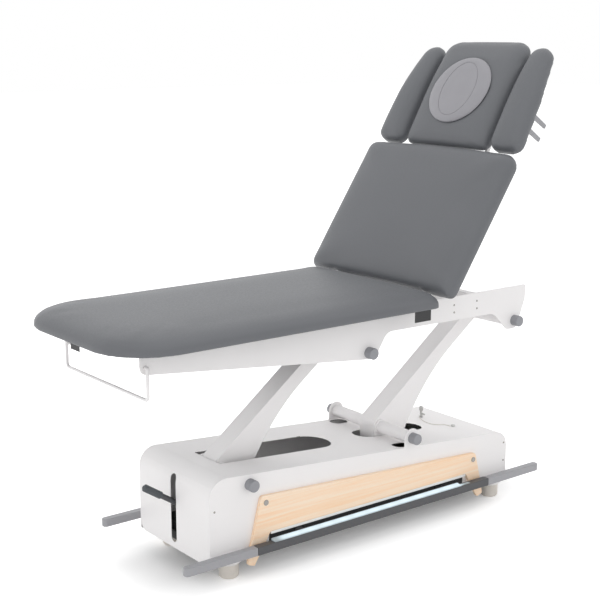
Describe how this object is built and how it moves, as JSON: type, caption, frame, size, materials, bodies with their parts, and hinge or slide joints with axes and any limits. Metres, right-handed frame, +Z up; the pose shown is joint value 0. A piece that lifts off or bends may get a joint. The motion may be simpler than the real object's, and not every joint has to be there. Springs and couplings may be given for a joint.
{
  "type": "electric physiotherapy table",
  "caption": "Height-adjustable treatment table: covered base, parallelogram lift arms, flat seat, tilting backrest and a head section with face hole and side armrests.",
  "frame": {"origin": "on the floor, below the middle of the table's overall length and width, as pictured", "axes": "+X towards the head end, +Y to the far side, +Z up; the near side with the visible wood panel is -Y"},
  "size_m": [1.7346, 0.714, 1.5892],
  "materials": {
    "white_powder_coat": "white powder coat, satin",
    "grey_plastic": "moulded grey plastic caps",
    "dark_grey_coat": "dark grey coated steel",
    "dark_grip": "moulded rubber grip",
    "light_grey_coat": "light grey coat",
    "cream_plastic": "cream plastic feet",
    "lanyard_cord": "thin pale cord",
    "grey_upholstery": "grey vinyl upholstery on foam and board",
    "plug_plastic": "light grey face-hole plug",
    "beech_panel": "pale beech panel, satin",
    "zinc_steel": "zinc-plated steel",
    "light_diffuser": "translucent light strip",
    "black_plastic": "black plastic housings",
    "castor_tyre": "castor wheels with rubber treads"
  },
  "bodies": {
    "base": {"base_frame": "white_powder_coat", "side_plate_near": "white_powder_coat", "side_plate_far": "white_powder_coat", "foot_end_cover": "white_powder_coat", "top_cover": "white_powder_coat", "foot_foot_near": "cream_plastic", "foot_foot_far": "cream_plastic", "foot_head_near": "cream_plastic", "foot_head_far": "cream_plastic", "pivot_cap_base_foot_near": "grey_plastic", "pivot_cap_base_foot_far": "grey_plastic", "pivot_cap_base_head_near": "grey_plastic", "pivot_cap_base_head_far": "grey_plastic", "wood_panel_near": "beech_panel", "wood_panel_far": "beech_panel", "control_box": "black_plastic", "lift_actuator": "light_grey_coat", "lanyard_stud": "zinc_steel", "lock_lanyard": "lanyard_cord"},
    "lock": {"lock_pin": "zinc_steel"},
    "foot_bar_near": {"foot_bar_near": "dark_grey_coat", "light_strip_near": "light_diffuser", "bar_end_foot_near": "light_grey_coat", "bar_end_head_near": "light_grey_coat"},
    "foot_bar_far": {"foot_bar_far": "dark_grey_coat", "light_strip_far": "light_diffuser", "bar_end_foot_far": "light_grey_coat", "bar_end_head_far": "light_grey_coat"},
    "castor_foot": {"castor_shaft_foot": "zinc_steel", "pedal_lever": "dark_grey_coat", "pedal_grip": "dark_grip"},
    "castor_head": {"castor_shaft_head": "zinc_steel"},
    "wheels_foot": {"castor_wheels_foot": "castor_tyre"},
    "wheels_head": {"castor_wheels_head": "castor_tyre"},
    "castor_link": {"castor_link": "zinc_steel"},
    "foot_arm": {"foot_arm": "white_powder_coat"},
    "head_arm": {"head_arm": "white_powder_coat"},
    "lift_rod": {"lift_rod": "zinc_steel"},
    "top_frame": {"side_beam_near": "white_powder_coat", "side_beam_far": "white_powder_coat", "end_cross_tube": "white_powder_coat", "seat_cross_tube": "white_powder_coat", "head_cross_tube": "white_powder_coat", "roll_holder": "white_powder_coat", "seat_cushion": "grey_upholstery", "pivot_cap_top_foot_near": "grey_plastic", "pivot_cap_top_foot_far": "grey_plastic", "pivot_cap_top_head_near": "grey_plastic", "pivot_cap_top_head_far": "grey_plastic"},
    "strut_tube": {"strut_tube": "black_plastic"},
    "strut_rod": {"strut_rod": "zinc_steel"},
    "backrest": {"back_frame": "white_powder_coat", "back_cushion": "grey_upholstery"},
    "head_section": {"head_frame": "white_powder_coat", "head_cushion": "grey_upholstery"},
    "face_plug": {"face_plug": "plug_plastic"},
    "armrest_near": {"armrest_near": "grey_upholstery", "armrest_bracket_near": "white_powder_coat"},
    "armrest_far": {"armrest_far": "grey_upholstery", "armrest_bracket_far": "white_powder_coat"}
  },
  "joints": [
    {"name": "lift", "type": "hinge", "parent": "base", "child": "foot_arm", "pos_m": [-0.36875, 0, 0.29397], "axis": [0, -1, 0], "range_deg": [-33, 12.5]},
    {"name": "head_arm_lift", "type": "hinge", "parent": "base", "child": "head_arm", "pos_m": [0.29375, 0, 0.30618], "axis": [0, -1, 0], "range_deg": [-33, 12.5]},
    {"name": "top_level", "type": "hinge", "parent": "foot_arm", "child": "top_frame", "pos_m": [0.07791, 0, 0.6367], "axis": [0, -1, 0], "range_deg": [-12.5, 33]},
    {"name": "lift_rod_slide", "type": "slide", "parent": "base", "child": "lift_rod", "axis": [1, 0, 0], "range_m": [-0.075, 0.0285]},
    {"name": "back_tilt", "type": "hinge", "parent": "top_frame", "child": "backrest", "pos_m": [0.29825, 0, 0.7968], "axis": [0, -1, 0], "range_deg": [-56, 9]},
    {"name": "strut_swing", "type": "hinge", "parent": "top_frame", "child": "strut_tube", "pos_m": [-0.17675, 0.102, 0.7], "axis": [0, -1, 0], "range_deg": [-8, 2]},
    {"name": "strut_extend", "type": "slide", "parent": "strut_tube", "child": "strut_rod", "axis": [0.9969, 0, 0.0788], "range_m": [-0.089, 0.0195]},
    {"name": "head_tilt", "type": "hinge", "parent": "backrest", "child": "head_section", "pos_m": [0.62989, 0, 1.22446], "axis": [0, -1, 0], "range_deg": [-60, 7]},
    {"name": "armrest_near_swing", "type": "hinge", "parent": "head_section", "child": "armrest_near", "pos_m": [0.81628, -0.262, 1.51481], "axis": [0, -1, 0], "range_deg": [0, 40]},
    {"name": "armrest_far_swing", "type": "hinge", "parent": "head_section", "child": "armrest_far", "pos_m": [0.81628, 0.262, 1.51481], "axis": [0, -1, 0], "range_deg": [0, 40]},
    {"name": "plug_pull", "type": "slide", "parent": "head_section", "child": "face_plug", "axis": [-0.848, 0, 0.5299], "range_m": [0, 0.08]},
    {"name": "foot_bar_near_tip", "type": "hinge", "parent": "base", "child": "foot_bar_near", "pos_m": [0.11825, -0.178, 0.104], "axis": [1, 0, 0], "range_deg": [-4, 4], "stiffness_Nm_per_rad": 150, "springref_deg": -0.87},
    {"name": "foot_bar_far_tip", "type": "hinge", "parent": "base", "child": "foot_bar_far", "pos_m": [0.11825, 0.178, 0.104], "axis": [-1, 0, 0], "range_deg": [-4, 4], "stiffness_Nm_per_rad": 150, "springref_deg": -0.87},
    {"name": "pedal", "type": "hinge", "parent": "base", "child": "castor_foot", "pos_m": [-0.31175, 0, 0.0795], "axis": [0, 1, 0], "range_deg": [-22, 4]},
    {"name": "castor_head_turn", "type": "hinge", "parent": "base", "child": "castor_head", "pos_m": [0.56825, 0, 0.0795], "axis": [0, 1, 0], "range_deg": [-22, 4]},
    {"name": "castor_link_swing", "type": "hinge", "parent": "castor_foot", "child": "castor_link", "pos_m": [-0.31175, 0, 0.1245], "axis": [0, 1, 0], "range_deg": [-4, 22]},
    {"name": "wheels_foot_roll", "type": "hinge", "parent": "castor_foot", "child": "wheels_foot", "pos_m": [-0.35858, 0, 0.04199], "axis": [0, 1, 0], "continuous": true},
    {"name": "wheels_head_roll", "type": "hinge", "parent": "castor_head", "child": "wheels_head", "pos_m": [0.52142, 0, 0.04199], "axis": [0, 1, 0], "continuous": true},
    {"name": "lock_lift", "type": "slide", "parent": "base", "child": "lock", "axis": [0, 0, 1], "range_m": [0, 0.035]}
  ],
  "couplings": [
    {"joint": "head_arm_lift", "follows": "lift", "ratio": 1},
    {"joint": "top_level", "follows": "lift", "ratio": -1},
    {"joint": "lift_rod_slide", "follows": "lift", "m_per_rad": 0.13},
    {"joint": "strut_swing", "follows": "back_tilt", "ratio": 0.14},
    {"joint": "strut_extend", "follows": "back_tilt", "m_per_rad": 0.09},
    {"joint": "castor_head_turn", "follows": "pedal", "ratio": 1},
    {"joint": "castor_link_swing", "follows": "pedal", "ratio": -1}
  ]
}
